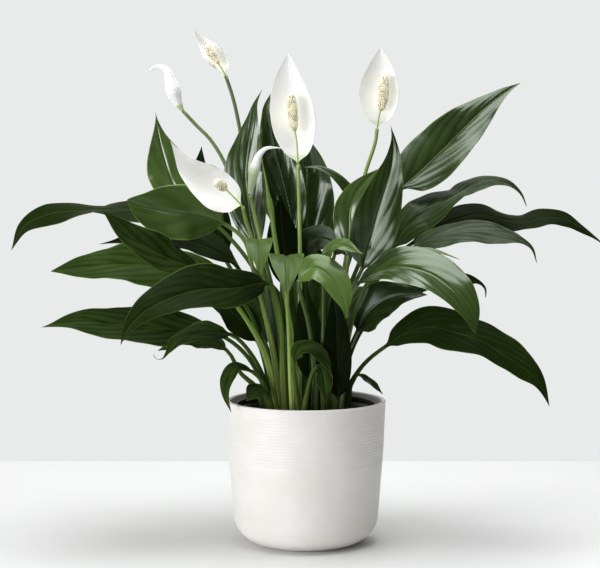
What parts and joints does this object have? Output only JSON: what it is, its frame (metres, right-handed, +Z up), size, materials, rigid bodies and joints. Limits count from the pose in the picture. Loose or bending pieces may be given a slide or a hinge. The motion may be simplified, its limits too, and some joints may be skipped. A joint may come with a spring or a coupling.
{
  "type": "potted peace lily",
  "caption": "Potted peace lily: arching glossy leaves and white spathes rising from soil in a black nursery pot, inside a plain off-white tapered ceramic pot.",
  "frame": {"origin": "middle of the ceramic pot's flat base, on the surface it stands on", "axes": "+Z up along the pot's axis; -Y towards the side shown in the picture; +X to the right of that view"},
  "size_m": [0.625, 0.283, 0.517],
  "materials": {
    "ceramic": "satin off-white glaze with fine turned grooves under the rim",
    "black_plastic": "thin moulded black plastic, slightly shiny",
    "soil": "moist dark potting mix",
    "leaf": "glossy dark green leaf with sunken side veins",
    "young_leaf": "glossy light green young leaf",
    "scape": "smooth pale green stalk",
    "spathe": "soft waxy white, slightly translucent",
    "spadix": "matt cream florets with small brown specks"
  },
  "bodies": {
    "root": {"ceramic_pot": "ceramic", "nursery_pot": "black_plastic", "soil": "soil", "leaf_left_far": "leaf", "leaf_left_upper": "leaf", "leaf_left_middle": "leaf", "leaf_left_behind": "leaf", "leaf_left_long": "leaf", "leaf_front_left": "leaf", "leaf_left_low": "leaf", "leaf_left_low_front": "leaf", "leaf_left_lowest": "leaf", "leaf_left_upright": "leaf", "leaf_centre_left_upright": "leaf", "leaf_centre_tall": "leaf", "leaf_centre_right_upright": "leaf", "leaf_centre_arching": "leaf", "leaf_front_right_upright": "leaf", "leaf_right_bright": "leaf", "leaf_right_upper": "leaf", "leaf_right_curled": "leaf", "leaf_right_far": "leaf", "leaf_right_slender": "leaf", "leaf_front_right": "leaf", "leaf_right_shaded": "leaf", "leaf_right_low": "leaf", "leaf_right_behind": "leaf", "leaf_right_inner": "leaf", "leaf_over_right_rim": "leaf", "leaf_front_arching": "young_leaf", "leaf_front_forward": "young_leaf", "leaf_front_forward_left": "young_leaf", "leaf_front_small": "leaf", "leaf_centre_dark": "leaf", "leaf_centre_low": "leaf", "leaf_front_dark": "leaf", "leaf_crown_right": "leaf", "leaf_left_inner": "leaf", "leaf_left_back_upright": "leaf", "shoot_over_left_rim": "leaf", "shoot_front": "leaf", "shoot_back_low": "leaf", "shoot_back_tall": "leaf", "leaf_spear": "young_leaf", "flower_centre_scape": "scape", "flower_centre_spathe": "spathe", "flower_centre_spadix": "spadix", "flower_right_scape": "scape", "flower_right_spathe": "spathe", "flower_right_spadix": "spadix", "flower_front_left_scape": "scape", "flower_front_left_spathe": "spathe", "flower_front_left_spadix": "spadix", "flower_high_left_scape": "scape", "flower_high_left_spathe": "spathe", "flower_high_left_spadix": "spadix", "bud_left_scape": "scape", "bud_left_spathe": "spathe", "bud_centre_left_scape": "scape", "bud_centre_left_spathe": "spathe"}
  },
  "joints": []
}
